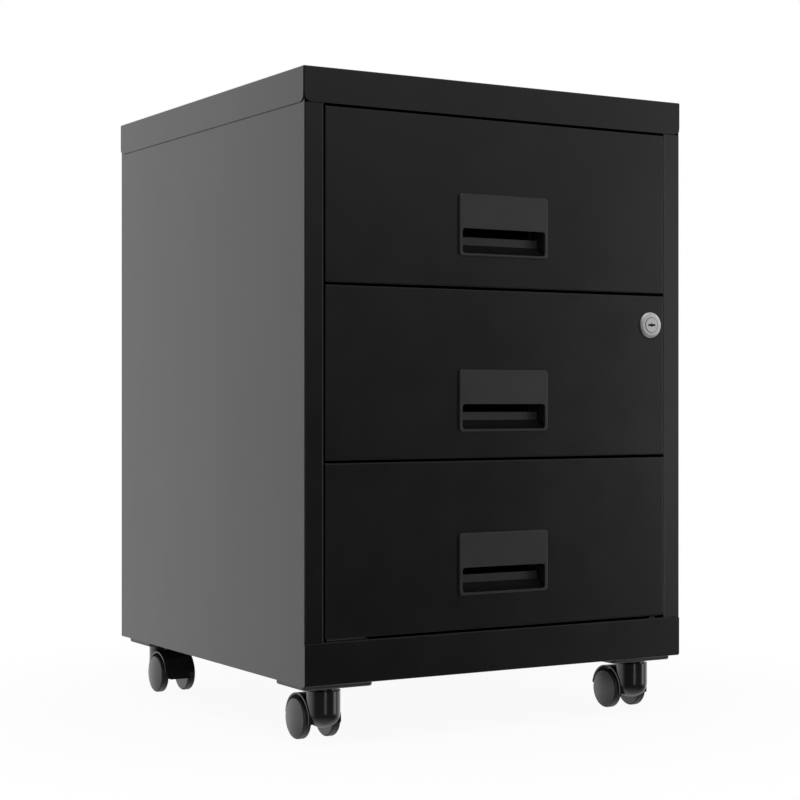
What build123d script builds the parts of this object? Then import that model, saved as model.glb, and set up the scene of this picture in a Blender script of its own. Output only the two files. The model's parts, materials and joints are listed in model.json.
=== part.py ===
from build123d import *
import os
from math import asin, cos, radians, sin

os.makedirs("parts", exist_ok=True)

# A steel filing cabinet on castors, with three drawers and one lock.
# Millimetres. The origin is on the floor under the middle of the cabinet and its proud lock.
# +X is to the right, -Y to the front and +Z up.

# Driving dimensions of the case
cabinet_width = 400.0
cabinet_depth = 403.0
cabinet_height = 572.1
floor_clearance = 51.8
sheet = 0.8
inner_bend = 0.4
lid_flange = 30.1
lid_play = 0.2
lid_corner_round = 8.0
lid_seam = 0.8
lid_lip = 12.0
stile_width = 18.0
stile_return = 18.0
stile_top_gap = 0.5
plinth_height = 36.7
plinth_top_return = 22.0
plinth_bottom_return = 15.0
side_bottom_flange = 15.0
base_rim = 20.0
base_play = 0.2
clip_length = 40.0
clip_width = 18.0
clip_thickness = 1.0
clip_setback = 0.8

# Driving dimensions of the drawers
drawer_count = 3
drawer_gap = 2.0
drawer_left_gap = 1.5
drawer_right_gap = 0.4
front_pan_depth = 24.0
front_corner_round = 1.5
box_rise = 6.0
box_cam_gap = 1.0
box_rear_gap = 20.0
box_hem = 8.0

# Driving dimensions of the handle inserts, whose drops below the drawer's top edge differ
handle_drops = (66.5, 70.5, 63.5)
handle_width = 94.0
handle_height = 54.7
handle_corner = 3.5
handle_proud = 2.0
handle_edge_round = 1.0
slot_width = 88.0
slot_height = 22.0
slot_corner = 2.8
slot_rim = 2.3
lip_thickness = 3.0
floor_start = 0.8
scoop_depth = 10.5
scoop_low = 7.9
scoop_high = 14.9
pocket_depth = 18.0
pocket_top = 33.0
pocket_draft = 3.6
cup_wall = 1.4
cup_play = 0.4
window_margin = 1.5

# Driving dimensions of the runners
runner_space = 15.0
rail_sheet = 1.0
rail_rise = 30.0
rail_front_gap = 8.0
rail_rear_gap = 1.0
rail_tongue_gap = 3.0
roller_diameter = 19.0
roller_width = 9.0
roller_gap = 0.3
roller_setback = 40.0
roller_rear_gap = 13.0
drawer_flange_gap = 0.5
rail_tip_gap = 4.0
drawer_rail_tip_gap = 2.3
stud_diameter = 6.0
stud_head_diameter = 10.0
stud_head = 1.0
running_play = 0.05

# Driving dimensions of the lock and its bar
lock_inset = 16.5
lock_drop = 27.5
bezel_diameter = 24.0
bezel_face_diameter = 17.6
bezel_edge = 0.6
bezel_height = 2.6
barrel_diameter = 18.0
barrel_length = 22.0
plug_diameter = 14.0
plug_proud = 0.4
tenon_side = 6.0
key_slot_width = 8.4
key_slot_height = 1.8
key_eye = 4.0
key_depth = 6.0
nut_across_flats = 22.0
nut_thickness = 4.0
cam_thickness = 2.0
cam_gap = 0.5
cam_hub_radius = 7.5
cam_tip_radius = 4.0
cam_radius = 10.0
cam_swing = 45.0
cam_notch_depth = 2.2
cam_notch_height = 16.0
pin_diameter = 4.0
pin_length = 8.5
pin_play = 0.45
bar_thickness = 2.0
bar_width = 16.0
bar_offset = 3.0
bar_front_gap = 3.5
bar_overrun = 40.0
tab_reach = 14.0
tab_corner = 2.0
hook_height = 12.0
hook_rise = 60.0
catch_reach = 12.0
catch_base = 22.0
catch_sheet = 1.2
catch_gap_y = 1.2
catch_gap_z = 2.0
lug_reach = 16.0
lug_height = 14.0
lug_slot_length = 12.0
guide_height = 12.0
guide_wall = 4.0
guide_lip = 1.0
guide_play = 0.15
guide_gap = 14.0

# Driving dimensions of the castors and the plates that carry them
plate_length = 67.3
plate_width = 54.0
plate_height = 4.7
plate_corner = 4.0
plate_round = 1.8
plate_sheet = 1.5
plate_side_inset = 3.8
plate_front_inset = 8.7
plate_rear_inset = 11.3
castor_side_inset = 33.55
castor_front_inset = 30.0
castor_rear_inset = 30.9
castor_trail = 18.7
housing_diameter = 29.8
housing_bottom = 11.5
housing_round = 13.5
collar_diameter = 26.0
collar_height = 3.1
collar_gap = 0.3
stem_diameter = 11.0
stem_depth = 26.0
stem_seat_wall = 5.0
stem_nut_across_flats = 17.0
stem_nut_thickness = 6.0
stem_end = 3.0
wheel_diameter = 36.0
wheel_well_gap = 1.0
wheel_side_gap = 0.5
wheel_inner_round = 1.6
wheel_tread = 4.0
wheel_shoulder = 2.3
wheel_dome = 1.9
wheel_cap = 3.6
web_width = 20.0
web_bottom = 14.4
hood_width = 31.4
hood_radius = 22.1
hood_wall = 1.8
hood_bevel = 0.6
hood_rear_rise = 3.0
hood_front_drop = 3.0
axle_diameter = 6.0
axle_end_gap = 0.5

# Places worked out from the driving dimensions
bend_radius = inner_bend + sheet
lock_proud = bezel_height + plug_proud
middle_y = lock_proud / 2
front_y = middle_y - cabinet_depth / 2
back_y = middle_y + cabinet_depth / 2
lid_bottom = cabinet_height - lid_flange
case_top = cabinet_height - sheet - lid_play
side_x = cabinet_width / 2 - sheet - lid_play
sheet_front_y = front_y + sheet + lid_play
back_outer_y = back_y - sheet - lid_play
back_inner_y = back_outer_y - sheet
opening_x = side_x - stile_width
plinth_top = floor_clearance + plinth_height
base_bottom = floor_clearance + sheet
front_height = (lid_bottom - plinth_top - (drawer_count + 1) * drawer_gap) / drawer_count
front_width = 2 * opening_x - drawer_left_gap - drawer_right_gap
front_right_x = opening_x - drawer_right_gap
front_middle_x = front_right_x - front_width / 2
handle_y = front_y - handle_proud
pan_back_y = front_y + front_pan_depth
box_half_width = opening_x - runner_space
box_front_y = pan_back_y - sheet
box_rear_y = back_inner_y - box_rear_gap
box_height = front_height - box_rise - lock_drop - cam_radius - cam_tip_radius - box_cam_gap
web_x = opening_x + sheet
roller_radius = roller_diameter / 2
channel_height = roller_diameter + roller_gap + 2 * drawer_flange_gap + rail_sheet + roller_gap
front_roller_y = front_y + roller_setback
rear_roller_y = box_rear_y - roller_rear_gap


def front_bottom(number):
    """Height of a drawer front's bottom edge, with drawer 1 at the top."""
    return lid_bottom - number * (front_height + drawer_gap)


def runner_floor(number):
    """Height of the face that a drawer's rear rollers run on."""
    return front_bottom(number) + rail_rise


def hollow_section(slot_bottom):
    """Adds the side view of a handle's hollow, behind its lip, to the open sketch."""
    Polygon(
        (handle_y + lip_thickness, slot_bottom + floor_start),
        (handle_y + scoop_depth, slot_bottom + scoop_low),
        (handle_y + scoop_depth, slot_bottom + scoop_high),
        (handle_y + pocket_depth, slot_bottom + scoop_high),
        (handle_y + pocket_depth, slot_bottom + pocket_top),
        (handle_y + lip_thickness, slot_bottom + pocket_top),
        align=None,
    )


def flange_corners(middle, span):
    """Adds to the open sketch what is cut off a lid flange's two lower corners to round them."""
    for side in (-1, 1):
        corner = middle + side * span / 2
        with Locations((corner - side * lid_corner_round / 2, lid_bottom + lid_corner_round / 2)):
            Rectangle(lid_corner_round, lid_corner_round)
        with Locations((corner - side * lid_corner_round, lid_bottom + lid_corner_round)):
            Circle(lid_corner_round, mode=Mode.SUBTRACT)


# Lid: a folded tray with its flange down, parted and rounded off at the corners, and a lip at the front
with BuildPart() as lid:
    with BuildSketch(Plane.XY.offset(lid_bottom)):
        with Locations((0, middle_y)):
            Rectangle(cabinet_width, cabinet_depth)
    extrude(amount=lid_flange)
    fillet(lid.edges().filter_by(Axis.Z), bend_radius)
    fillet(lid.faces().sort_by(Axis.Z)[-1].edges(), bend_radius)
    offset(amount=-sheet, openings=lid.faces().sort_by(Axis.Z)[0])
    for end in (-1, 1):
        with BuildSketch(Plane.XZ.offset(end * cabinet_depth / 2 - middle_y)):
            flange_corners(0, cabinet_width)
        extrude(amount=-end * bend_radius, mode=Mode.SUBTRACT)
        with BuildSketch(Plane.YZ.offset(end * cabinet_width / 2)):
            flange_corners(middle_y, cabinet_depth)
        extrude(amount=-end * bend_radius, mode=Mode.SUBTRACT)
        with BuildSketch(Plane.XY.offset(lid_bottom)):
            for side in (-1, 1):
                with Locations((side * cabinet_width / 2, middle_y + end * cabinet_depth / 2)):
                    Rectangle(4 * bend_radius, lid_seam, rotation=45 * side * end)
        extrude(amount=lid_flange - bend_radius, mode=Mode.SUBTRACT)
    with BuildSketch(Plane.XY.offset(lid_bottom)):
        with Locations((0, front_y + sheet + lid_lip / 2)):
            Rectangle(2 * opening_x, lid_lip)
    extrude(amount=sheet)
lid.part.label = "lid"
export_step(lid.part, "parts/lid.step")

# Side panels: a sheet folded twice at the front into the stile and twice at the back
with BuildPart() as right_side_panel:
    with BuildSketch(Plane.XY.offset(plinth_top)):
        with BuildLine():
            FilletPolyline(
                (opening_x, front_y + stile_return),
                (opening_x, front_y),
                (side_x, front_y),
                (side_x, back_inner_y),
                (opening_x, back_inner_y),
                (opening_x, back_inner_y - stile_return),
                radius=bend_radius,
            )
            offset(amount=sheet, side=Side.LEFT)
        make_face()
    extrude(amount=lid_bottom - stile_top_gap - plinth_top)
    with BuildSketch(Plane.XY.offset(floor_clearance)):
        with Locations((side_x - sheet / 2, (sheet_front_y + back_inner_y) / 2)):
            Rectangle(sheet, back_inner_y - sheet_front_y)
    extrude(amount=case_top - floor_clearance)
    with BuildSketch(Plane.XY.offset(floor_clearance)):
        flange_front_y = front_y + plinth_bottom_return + base_play
        with Locations((side_x - side_bottom_flange / 2, (flange_front_y + back_inner_y) / 2)):
            Rectangle(side_bottom_flange, back_inner_y - flange_front_y)
    extrude(amount=sheet)
right_side_panel.part.label = "right_side_panel"
export_step(right_side_panel.part, "parts/right_side_panel.step")

with BuildPart() as left_side_panel:
    mirror(right_side_panel.part, about=Plane.YZ)
left_side_panel.part.label = "left_side_panel"
export_step(left_side_panel.part, "parts/left_side_panel.step")

# Back panel: a sheet on the side panels' rear folds, with a flange along its bottom edge
with BuildPart() as back_panel:
    with BuildSketch(Plane.XZ.offset(-back_outer_y)):
        with Locations((0, (floor_clearance + case_top) / 2)):
            Rectangle(2 * side_x, case_top - floor_clearance)
    extrude(amount=sheet)
    with BuildSketch(Plane.XY.offset(floor_clearance)):
        with Locations((0, back_inner_y - side_bottom_flange / 2)):
            Rectangle(2 * (side_x - side_bottom_flange - base_play), side_bottom_flange)
    extrude(amount=sheet)
back_panel.part.label = "back_panel"
export_step(back_panel.part, "parts/back_panel.step")

# Castor places: the front castors trail backwards and the rear ones forwards
castors = {
    "front_left": (-(side_x - castor_side_inset), front_y + castor_front_inset, 1),
    "front_right": (side_x - castor_side_inset, front_y + castor_front_inset, 1),
    "rear_left": (-(side_x - castor_side_inset), back_outer_y - castor_rear_inset, -1),
    "rear_right": (side_x - castor_side_inset, back_outer_y - castor_rear_inset, -1),
}
castor_places = [(x, y) for x, y, heading in castors.values()]
stem_hole_radius = stem_diameter / 2 + running_play

# Base panel: a tray that rests on the bottom flanges of the sides and the plinth
with BuildPart() as base_panel:
    base_half_width = side_x - sheet - base_play
    base_front_y = front_y + bend_radius + base_play
    base_rear_y = back_inner_y - base_play
    with BuildSketch(Plane.XY.offset(base_bottom)):
        with Locations((0, (base_front_y + base_rear_y) / 2)):
            Rectangle(2 * base_half_width, base_rear_y - base_front_y)
    extrude(amount=base_rim)
    fillet(base_panel.edges().filter_by(Axis.Z), bend_radius)
    offset(amount=-sheet, openings=base_panel.faces().sort_by(Axis.Z)[-1])
    with BuildSketch(Plane.XY.offset(base_bottom)):
        with Locations(*castor_places):
            Circle(stem_hole_radius)
    extrude(amount=sheet, mode=Mode.SUBTRACT)
base_panel.part.label = "base_panel"
export_step(base_panel.part, "parts/base_panel.step")

# Plinth: a channel under the bottom drawer, with its face as wide as the case
with BuildPart() as plinth:
    with BuildSketch(Plane.YZ):
        with BuildLine():
            FilletPolyline(
                (front_y + plinth_top_return, plinth_top),
                (front_y, plinth_top),
                (front_y, floor_clearance),
                (front_y + plinth_bottom_return, floor_clearance),
                radius=bend_radius,
            )
            offset(amount=sheet, side=Side.LEFT)
        make_face()
    extrude(amount=base_half_width, both=True)
    with BuildSketch(Plane.XZ.offset(-front_y)):
        with Locations((0, floor_clearance + plinth_height / 2)):
            Rectangle(2 * side_x, plinth_height - 2 * bend_radius)
    extrude(amount=-sheet)
plinth.part.label = "plinth"
export_step(plinth.part, "parts/plinth.step")

# Clip: a strip on the plinth's top fold, at the left end of the gap under the bottom drawer
with BuildPart() as plinth_clip:
    with BuildSketch(Plane.XY.offset(plinth_top)):
        clip_x = -opening_x + 2 * drawer_left_gap + clip_length / 2
        with Locations((clip_x, front_y + clip_setback + clip_width / 2)):
            RectangleRounded(clip_length, clip_width, bend_radius)
    extrude(amount=clip_thickness)
plinth_clip.part.label = "plinth_clip"
export_step(plinth_clip.part, "parts/plinth_clip.step")

# Drawers, counted from the top: front, handle insert, box, rails, rollers and lock catch
lock_number = 2
lock_x = front_right_x - lock_inset
lock_z = front_bottom(lock_number) + front_height - lock_drop
bezel_face_y = front_y - bezel_height
barrel_end_y = front_y + barrel_length
cam_y = barrel_end_y + cam_gap
bar_x = opening_x + bar_offset
bar_y = cam_y + cam_thickness + bar_front_gap
catch_rise = hook_rise + hook_height + catch_gap_z
catch_y = bar_y + bar_thickness + catch_gap_y
rail_tip_x = box_half_width + rail_tip_gap
drawer_tip_x = web_x - drawer_rail_tip_gap
drawer_flange_z = roller_diameter + 2 * roller_gap + drawer_flange_gap

for number in range(1, drawer_count + 1):
    bottom = front_bottom(number)
    handle_bottom = bottom + front_height - handle_drops[number - 1] - handle_height
    slot_bottom = handle_bottom + slot_rim
    runner_z = runner_floor(number)

    # The hollow of the handle: a scoop below and a finger pocket that goes up behind the plate
    with BuildPart() as hollow:
        with BuildSketch(Plane.YZ):
            hollow_section(slot_bottom)
        extrude(amount=slot_width / 2, both=True)
        with BuildSketch(Plane.XY.offset(handle_bottom)):
            Polygon(
                (-slot_width / 2, handle_y + lip_thickness),
                (slot_width / 2, handle_y + lip_thickness),
                (slot_width / 2 - pocket_draft, handle_y + pocket_depth),
                (-slot_width / 2 + pocket_draft, handle_y + pocket_depth),
                align=None,
            )
        extrude(amount=handle_height, mode=Mode.INTERSECT)
        with BuildSketch(Plane.XZ.offset(-handle_y)):
            with Locations((0, slot_bottom + slot_height / 2)):
                RectangleRounded(slot_width, slot_height, slot_corner)
        extrude(amount=-lip_thickness)

    # Handle insert: a plate with rounded edges, over a cup that follows the hollow and is open at the back
    cup_half_width = slot_width / 2 + cup_wall / 2
    cup_bottom = slot_bottom + floor_start - cup_wall
    cup_top = slot_bottom + pocket_top + cup_wall
    window_width = slot_width - 2 * pocket_draft - 2 * window_margin
    window_height = pocket_top - scoop_high - window_margin
    window_z = slot_bottom + scoop_high + window_height / 2
    with BuildPart() as handle:
        with BuildSketch(Plane.YZ):
            hollow_section(slot_bottom)
            offset(amount=cup_wall, kind=Kind.INTERSECTION)
            with Locations((handle_y + pocket_depth / 2, (cup_bottom + cup_top) / 2)):
                Rectangle(2 * pocket_depth, cup_top - cup_bottom, mode=Mode.INTERSECT)
        extrude(amount=cup_half_width, both=True)
        with BuildSketch(Plane.XZ.offset(-handle_y)):
            with Locations((0, handle_bottom + handle_height / 2)):
                RectangleRounded(handle_width, handle_height, handle_corner)
        extrude(amount=-handle_proud)
        fillet(handle.faces().sort_by(Axis.Y)[0].edges(), handle_edge_round)
        add(hollow.part, mode=Mode.SUBTRACT)
        with BuildSketch(Plane.XZ.offset(-handle_y - pocket_depth)):
            with Locations((0, window_z)):
                Rectangle(window_width, window_height)
        extrude(amount=-cup_wall, mode=Mode.SUBTRACT)
    handle.part.label = f"drawer_{number}_handle"
    export_step(handle.part, f"parts/drawer_{number}_handle.step")

    # Drawer front: a folded pan, cut out for the handle's cup and, on one drawer, for the lock and its cam
    with BuildPart() as front:
        with BuildSketch(Plane.XZ.offset(-front_y)):
            with Locations((front_middle_x, bottom + front_height / 2)):
                RectangleRounded(front_width, front_height, front_corner_round)
        extrude(amount=-front_pan_depth)
        fillet(front.faces().sort_by(Axis.Y)[0].edges(), bend_radius)
        offset(amount=-sheet, openings=front.faces().sort_by(Axis.Y)[-1])
        with BuildSketch(Plane.XZ.offset(-front_y)):
            with Locations((0, (cup_bottom + cup_top) / 2)):
                Rectangle(2 * (cup_half_width + cup_play), cup_top - cup_bottom + 2 * cup_play)
            if number == lock_number:
                with Locations((lock_x, lock_z)):
                    Circle(barrel_diameter / 2 + running_play)
        extrude(amount=-sheet, mode=Mode.SUBTRACT)
        if number == lock_number:
            with BuildSketch(Plane.YZ.offset(front_right_x)):
                with Locations((pan_back_y, lock_z)):
                    Rectangle(2 * cam_notch_depth, cam_notch_height)
            extrude(amount=-bend_radius, mode=Mode.SUBTRACT)
    front.part.label = f"drawer_{number}_front"
    export_step(front.part, f"parts/drawer_{number}_front.step")

    # Drawer box: a tray with its rim folded in, and a front wall as wide as the inside of the pan
    with BuildPart() as box:
        box_bottom = bottom + box_rise
        box_top = box_bottom + box_height
        box_depth = box_rear_y - box_front_y
        box_middle_y = (box_rear_y + box_front_y) / 2
        with BuildSketch(Plane.XY.offset(box_bottom)):
            with Locations((0, box_middle_y)):
                Rectangle(2 * box_half_width, box_depth)
        extrude(amount=box_height)
        fillet(box.edges().filter_by(Axis.Z), bend_radius)
        offset(amount=-sheet, openings=box.faces().sort_by(Axis.Z)[-1])
        with BuildSketch(Plane.XY.offset(box_top - box_hem)):
            with Locations((0, box_middle_y)):
                RectangleRounded(2 * (box_half_width - sheet), box_depth - 2 * sheet, inner_bend)
                Rectangle(2 * (box_half_width - 2 * sheet), box_depth - 4 * sheet, mode=Mode.SUBTRACT)
        extrude(amount=box_hem)
        with BuildSketch(Plane.XZ.offset(-box_front_y)):
            wall_height = box_top - bottom - sheet
            with Locations((front_middle_x, box_top - wall_height / 2)):
                RectangleRounded(front_width - 2 * sheet, wall_height, front_corner_round)
        extrude(amount=-sheet)
    box.part.label = f"drawer_{number}_box"
    export_step(box.part, f"parts/drawer_{number}_box.step")

    # Runner rails: a channel on each side with tongues to the side panel's folds and a roller stud
    with BuildPart() as runner_rails:
        rail_front_y = front_y + stile_return + rail_front_gap
        rail_rear_y = back_inner_y - stile_return - rail_rear_gap
        with BuildSketch(Plane.XZ.offset(-rail_front_y)):
            with BuildLine():
                FilletPolyline(
                    (rail_tip_x, runner_z - rail_sheet),
                    (web_x + rail_sheet, runner_z - rail_sheet),
                    (web_x + rail_sheet, runner_z + channel_height + rail_sheet),
                    (rail_tip_x, runner_z + channel_height + rail_sheet),
                    radius=inner_bend + rail_sheet,
                )
                offset(amount=rail_sheet, side=Side.LEFT)
            make_face()
        extrude(amount=rail_front_y - rail_rear_y)
        tongue_front_y = front_y + sheet + rail_tongue_gap
        tongue_rear_y = back_inner_y - sheet - rail_tongue_gap
        with BuildSketch(Plane.YZ.offset(web_x)):
            with Locations(((tongue_front_y + tongue_rear_y) / 2, runner_z + channel_height / 2)):
                Rectangle(tongue_rear_y - tongue_front_y, channel_height / 2)
        extrude(amount=rail_sheet)
        front_roller_z = runner_z + drawer_flange_z - roller_gap - roller_radius
        with BuildSketch(Plane.YZ.offset(web_x)):
            with Locations((front_roller_y, front_roller_z)):
                Circle(stud_diameter / 2)
        extrude(amount=rail_tip_x + stud_head / 2 - web_x)
        with BuildSketch(Plane.YZ.offset(rail_tip_x + stud_head / 2)):
            with Locations((front_roller_y, front_roller_z)):
                Circle(stud_head_diameter / 2)
        extrude(amount=-stud_head)
        mirror(about=Plane.YZ)
    runner_rails.part.label = f"runner_rails_{number}"
    export_step(runner_rails.part, f"parts/runner_rails_{number}.step")

    # Runner rollers: one at the front of each channel, under the drawer rail's flange
    with BuildPart() as runner_rollers:
        with BuildSketch(Plane.YZ.offset(rail_tip_x + stud_head / 2 + roller_gap)):
            with Locations((front_roller_y, front_roller_z)):
                Circle(roller_radius)
                Circle(stud_diameter / 2 + running_play, mode=Mode.SUBTRACT)
        extrude(amount=roller_width)
        mirror(about=Plane.YZ)
    runner_rollers.part.label = f"runner_rollers_{number}"
    export_step(runner_rollers.part, f"parts/runner_rollers_{number}.step")

    # Drawer rails: an angle on each side of the box with a roller stud at the rear
    with BuildPart() as drawer_rails:
        drawer_rail_front_y = pan_back_y + roller_gap
        with BuildSketch(Plane.XZ.offset(-drawer_rail_front_y)):
            with BuildLine():
                FilletPolyline(
                    (box_half_width, runner_z + rail_sheet),
                    (box_half_width, runner_z + drawer_flange_z + rail_sheet),
                    (drawer_tip_x, runner_z + drawer_flange_z + rail_sheet),
                    radius=inner_bend + rail_sheet,
                )
                offset(amount=rail_sheet, side=Side.RIGHT)
            make_face()
        extrude(amount=drawer_rail_front_y - box_rear_y)
        rear_roller_z = runner_z + roller_gap + roller_radius
        stud_base_x = box_half_width + rail_sheet
        stud_end_x = stud_base_x + roller_width + 2 * roller_gap
        with BuildSketch(Plane.YZ.offset(stud_base_x)):
            with Locations((rear_roller_y, rear_roller_z)):
                Circle(stud_diameter / 2)
        extrude(amount=stud_end_x - stud_base_x)
        with BuildSketch(Plane.YZ.offset(stud_end_x)):
            with Locations((rear_roller_y, rear_roller_z)):
                Circle(stud_head_diameter / 2)
        extrude(amount=stud_head)
        mirror(about=Plane.YZ)
    drawer_rails.part.label = f"drawer_{number}_rails"
    export_step(drawer_rails.part, f"parts/drawer_{number}_rails.step")

    # Drawer rollers: one at the rear of each drawer rail, inside the channel
    with BuildPart() as drawer_rollers:
        with BuildSketch(Plane.YZ.offset(stud_base_x + roller_gap)):
            with Locations((rear_roller_y, rear_roller_z)):
                Circle(roller_radius)
                Circle(stud_diameter / 2 + running_play, mode=Mode.SUBTRACT)
        extrude(amount=roller_width)
        mirror(about=Plane.YZ)
    drawer_rollers.part.label = f"drawer_{number}_rollers"
    export_step(drawer_rollers.part, f"parts/drawer_{number}_rollers.step")

    # Lock catch: an angle on the box's right side, just behind where the lock bar's hook rises
    with BuildPart() as catch:
        with BuildSketch(Plane.XY.offset(bottom + catch_rise)):
            with BuildLine():
                FilletPolyline(
                    (box_half_width, catch_y + catch_base),
                    (box_half_width, catch_y),
                    (box_half_width + catch_reach, catch_y),
                    radius=inner_bend + catch_sheet,
                )
                offset(amount=catch_sheet, side=Side.LEFT)
            make_face()
        extrude(amount=hook_height)
    catch.part.label = f"drawer_{number}_lock_catch"
    export_step(catch.part, f"parts/drawer_{number}_lock_catch.step")

# Lock housing: a barrel through the drawer front, with a domed bezel in front of it
lock_axis = Axis((lock_x, 0, lock_z), (0, 1, 0))
lock_section = Plane(origin=(lock_x, 0, lock_z), x_dir=(1, 0, 0), z_dir=(0, 0, 1))
with BuildPart() as lock_housing:
    with BuildSketch(lock_section):
        with BuildLine():
            bezel_rim = (bezel_diameter / 2, front_y - bezel_edge)
            bezel_land = (bezel_face_diameter / 2, bezel_face_y)
            Polyline(
                bezel_land,
                (plug_diameter / 2 + running_play, bezel_face_y),
                (plug_diameter / 2 + running_play, barrel_end_y),
                (barrel_diameter / 2, barrel_end_y),
                (barrel_diameter / 2, front_y),
                (bezel_diameter / 2, front_y),
                bezel_rim,
            )
            EllipticalCenterArc(
                (bezel_face_diameter / 2, front_y - bezel_edge),
                (bezel_diameter - bezel_face_diameter) / 2,
                bezel_height - bezel_edge,
                start_angle=270,
                arc_size=90,
            )
        make_face()
    revolve(axis=lock_axis)
lock_housing.part.label = "lock_housing"
export_step(lock_housing.part, "parts/lock_housing.step")

# Lock nut: clamps the housing to the drawer front from behind
with BuildPart() as lock_nut:
    with BuildSketch(Plane.XZ.offset(-front_y - sheet)):
        with Locations((lock_x, lock_z)):
            RegularPolygon(nut_across_flats / 2, 6, major_radius=False, rotation=30)
            Circle(barrel_diameter / 2 + running_play, mode=Mode.SUBTRACT)
    extrude(amount=-nut_thickness)
lock_nut.part.label = "lock_nut"
export_step(lock_nut.part, "parts/lock_nut.step")

# Lock plug: turns in the housing, with a level key slot in front and a square tenon behind
with BuildPart() as lock_plug:
    plug_face_y = bezel_face_y - plug_proud
    with BuildSketch(Plane.XZ.offset(-plug_face_y)):
        with Locations((lock_x, lock_z)):
            Circle(plug_diameter / 2)
    extrude(amount=plug_face_y - cam_y)
    with BuildSketch(Plane.XZ.offset(-cam_y)):
        with Locations((lock_x, lock_z)):
            Rectangle(tenon_side, tenon_side)
    extrude(amount=-cam_thickness)
    with BuildSketch(Plane.XZ.offset(-plug_face_y)):
        with Locations((lock_x, lock_z)):
            Rectangle(key_slot_width, key_slot_height)
            Rectangle(key_eye / 2**0.5, key_eye / 2**0.5, rotation=45)
    extrude(amount=-key_depth, mode=Mode.SUBTRACT)
lock_plug.part.label = "lock_plug"
export_step(lock_plug.part, "parts/lock_plug.step")

# Lock cam: an arm on the plug's tenon, with a pin behind its tip that lifts the lock bar
pin_x = lock_x + cam_radius * cos(radians(cam_swing))
pin_z = lock_z - cam_radius * sin(radians(cam_swing))
with BuildPart() as lock_cam:
    with BuildSketch(Plane.XZ.offset(-cam_y)):
        with Locations((lock_x, lock_z)):
            Circle(cam_hub_radius)
        with Locations((pin_x, pin_z)):
            Circle(cam_tip_radius)
        make_hull()
        with Locations((lock_x, lock_z)):
            Rectangle(tenon_side + 2 * running_play, tenon_side + 2 * running_play, mode=Mode.SUBTRACT)
    extrude(amount=-cam_thickness)
    with BuildSketch(Plane.XZ.offset(-cam_y - cam_thickness)):
        with Locations((pin_x, pin_z)):
            Circle(pin_diameter / 2)
    extrude(amount=-pin_length)
lock_cam.part.label = "lock_cam"
export_step(lock_cam.part, "parts/lock_cam.step")

# Lock bar: a strip behind the right stile, with a slotted lug for the cam's pin and a hook per drawer
bar_bottom = front_bottom(drawer_count) + hook_rise - bar_overrun / 2
bar_top = front_bottom(1) + hook_rise + hook_height + bar_overrun
with BuildPart() as lock_bar:
    with BuildSketch(Plane.XY.offset(bar_bottom)):
        with Locations((bar_x + bar_thickness / 2, bar_y + bar_width / 2)):
            Rectangle(bar_thickness, bar_width)
    extrude(amount=bar_top - bar_bottom)
    with BuildSketch(Plane.XZ.offset(-bar_y)):
        for number in range(1, drawer_count + 1):
            with Locations((bar_x + bar_thickness / 2 - tab_reach / 2, front_bottom(number) + hook_rise)):
                Rectangle(tab_reach + bar_thickness, hook_height, align=(Align.CENTER, Align.MIN))
        with Locations((bar_x + bar_thickness / 2 - lug_reach / 2, pin_z)):
            Rectangle(lug_reach + bar_thickness, lug_height)
    extrude(amount=-bar_thickness)
    tips = lock_bar.faces().filter_by(Axis.X).sort_by(Axis.X)[: drawer_count + 1]
    fillet(tips.edges().filter_by(Axis.Y), tab_corner)
    with BuildSketch(Plane.XZ.offset(-bar_y)):
        with Locations((bar_x - lug_reach + lug_slot_length / 2, pin_z)):
            Rectangle(lug_slot_length, pin_diameter + 2 * pin_play)
    extrude(amount=-bar_thickness, mode=Mode.SUBTRACT)
lock_bar.part.label = "lock_bar"
export_step(lock_bar.part, "parts/lock_bar.step")

# Lock bar guides: blocks on the right side panel, each slotted for the bar, between its tabs
guide_levels = [front_bottom(number) + catch_rise + hook_height + guide_gap for number in (1, drawer_count)]
guide_inner_x = bar_x - guide_play - guide_lip
guide_outer_x = side_x - sheet
with BuildPart() as lock_bar_guides:
    for level in guide_levels:
        with BuildSketch(Plane.XY.offset(level)):
            with Locations(((guide_inner_x + guide_outer_x) / 2, bar_y + bar_width / 2)):
                Rectangle(guide_outer_x - guide_inner_x, bar_width + 2 * guide_wall)
            with Locations((bar_x + bar_thickness / 2, bar_y + bar_width / 2)):
                Rectangle(bar_thickness + 2 * guide_play, bar_width + 2 * guide_play, mode=Mode.SUBTRACT)
        extrude(amount=guide_height)
lock_bar_guides.part.label = "lock_bar_guides"
export_step(lock_bar_guides.part, "parts/lock_bar_guides.step")

# Castor stems: fixed under the corner plates, each with a collar, and a nut on the base panel
plate_bottom = floor_clearance - plate_height
collar_bottom = plate_bottom - collar_height
housing_top = collar_bottom - collar_gap
stem_bottom = housing_top - stem_depth
stem_nut_z = base_bottom + sheet
with BuildPart() as castor_stems:
    with BuildSketch(Plane.XY.offset(stem_bottom)):
        with Locations(*castor_places):
            Circle(stem_diameter / 2)
    extrude(amount=stem_nut_z + stem_nut_thickness + stem_end - stem_bottom)
    with BuildSketch(Plane.XY.offset(collar_bottom)):
        with Locations(*castor_places):
            Circle(collar_diameter / 2)
    extrude(amount=collar_height)
castor_stems.part.label = "castor_stems"
export_step(castor_stems.part, "parts/castor_stems.step")

with BuildPart() as stem_nuts:
    with BuildSketch(Plane.XY.offset(stem_nut_z)):
        with Locations(*castor_places):
            RegularPolygon(stem_nut_across_flats / 2, 6, major_radius=False)
            Circle(stem_hole_radius, mode=Mode.SUBTRACT)
    extrude(amount=stem_nut_thickness)
stem_nuts.part.label = "stem_nuts"
export_step(stem_nuts.part, "parts/stem_nuts.step")

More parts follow.
